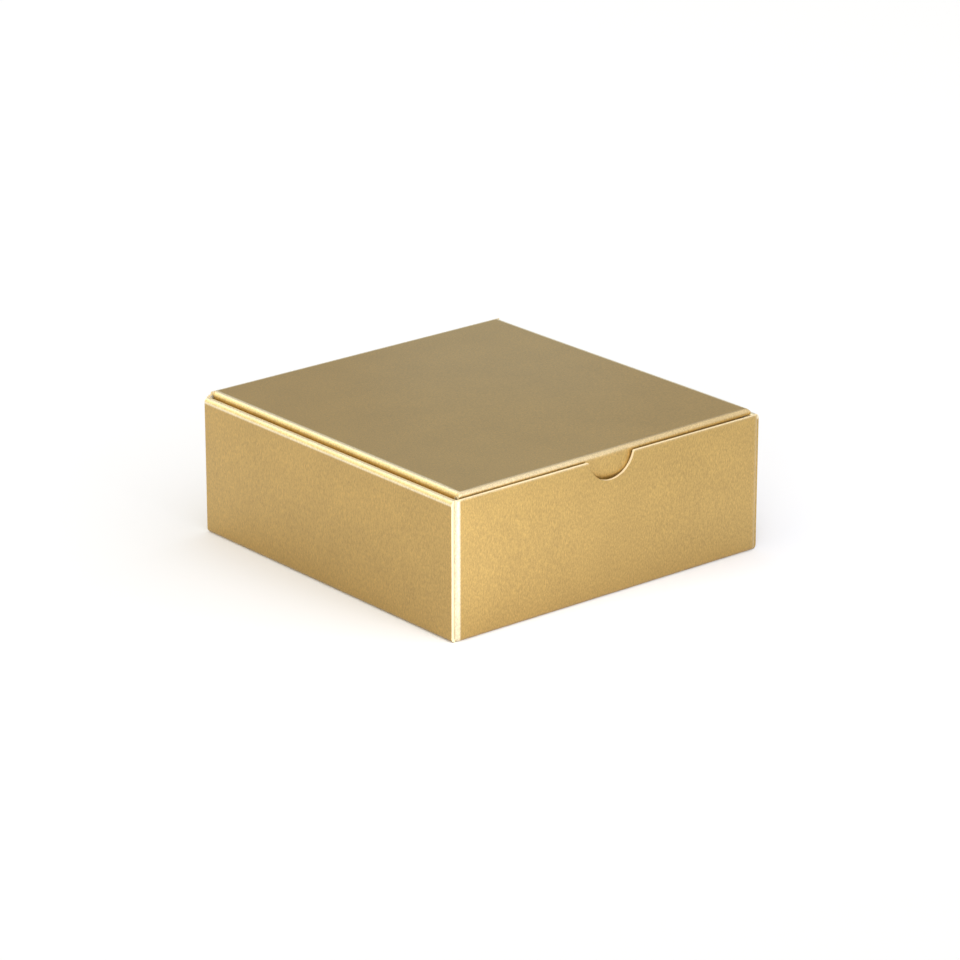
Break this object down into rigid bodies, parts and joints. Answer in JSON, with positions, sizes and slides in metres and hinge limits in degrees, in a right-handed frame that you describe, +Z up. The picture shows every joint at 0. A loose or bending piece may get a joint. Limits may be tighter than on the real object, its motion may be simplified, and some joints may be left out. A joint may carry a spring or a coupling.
{
  "type": "favor box",
  "caption": "Flat square folding carton with rolled side walls, a hinged lid with a tuck flap and side ears, and a round thumb notch at the top of the front wall.",
  "frame": {"origin": "middle of the underside of the bottom panel, on the surface that the box stands on", "axes": "+X to the right and -Y to the front as a user faces the thumb notch, +Z up"},
  "size_m": [0.0762, 0.0762, 0.0286],
  "materials": {
    "gold_board": "satin metallic gold foil on the outer face, uncoated cream inside, pale cut edges"
  },
  "bodies": {
    "base": {"bottom_panel": "gold_board", "front_wall": "gold_board", "back_wall": "gold_board", "left_outer_side": "gold_board", "left_side_crest": "gold_board", "left_inner_side": "gold_board", "left_lock_tabs": "gold_board", "right_outer_side": "gold_board", "right_side_crest": "gold_board", "right_inner_side": "gold_board", "right_lock_tabs": "gold_board", "front_left_tab": "gold_board", "front_right_tab": "gold_board", "back_left_tab": "gold_board", "back_right_tab": "gold_board"},
    "lid": {"lid_panel": "gold_board", "lid_hinge_crease": "gold_board", "tuck_flap_crease": "gold_board", "left_ear_crease": "gold_board", "right_ear_crease": "gold_board"},
    "tuck_flap": {"tuck_flap": "gold_board"},
    "left_ear": {"left_ear": "gold_board"},
    "right_ear": {"right_ear": "gold_board"}
  },
  "joints": [
    {"name": "lid_hinge", "type": "hinge", "parent": "base", "child": "lid", "pos_m": [0, 0.0381, 0.0286], "axis": [-1, 0, 0], "range_deg": [0, 180]},
    {"name": "tuck_flap_fold", "type": "hinge", "parent": "lid", "child": "tuck_flap", "pos_m": [0, -0.03655, 0.02785], "axis": [1, 0, 0], "range_deg": [0, 70]},
    {"name": "left_ear_fold", "type": "hinge", "parent": "lid", "child": "left_ear", "pos_m": [-0.03535, 0, 0.02775], "axis": [0, -1, 0], "range_deg": [0, 90]},
    {"name": "right_ear_fold", "type": "hinge", "parent": "lid", "child": "right_ear", "pos_m": [0.03535, 0, 0.02775], "axis": [0, 1, 0], "range_deg": [0, 90]}
  ]
}
